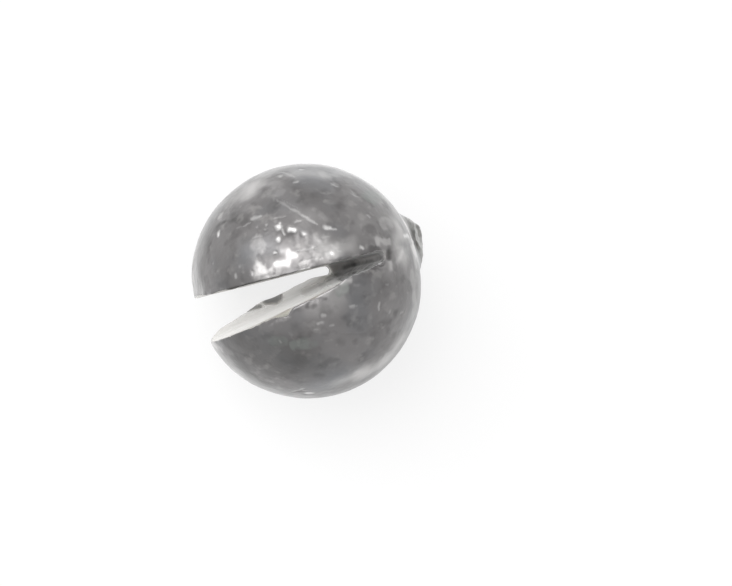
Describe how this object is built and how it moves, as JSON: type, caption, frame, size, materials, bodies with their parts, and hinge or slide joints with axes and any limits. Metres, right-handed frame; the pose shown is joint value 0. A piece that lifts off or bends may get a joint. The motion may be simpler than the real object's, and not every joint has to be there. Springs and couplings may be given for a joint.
{
  "type": "split shot fishing sinker",
  "caption": "Round cast-lead split shot with a V slot, a line groove at its bottom, a bending web behind it and the slanted stub of the pouring gate on its back.",
  "frame": {"origin": "middle of the line groove at the bottom of the slot, on the groove's axis", "axes": "+Z along the groove, the way the line runs; +X from the groove to the back of the ball, where the gate stub is, so the slot opens towards -X; +Y from the fixed jaw to the closing jaw"},
  "size_m": [0.011, 0.0104, 0.01],
  "materials": {
    "weathered_lead": "dull grey oxidised lead, as cast, with dents and scratches",
    "cut_lead": "lead sheared by cutters, rough and tarnished dark"
  },
  "bodies": {
    "fixed_half": {"fixed_jaw": "weathered_lead", "hinge_web": "weathered_lead", "gate_stub": "cut_lead"},
    "closing_half": {"closing_jaw": "weathered_lead"}
  },
  "joints": [
    {"name": "jaw_pinch", "type": "hinge", "parent": "fixed_half", "child": "closing_half", "pos_m": [0.00148, 0, 0], "axis": [0, 0, 1], "range_deg": [-6, 13.2], "deforming": ["hinge_web"]}
  ]
}
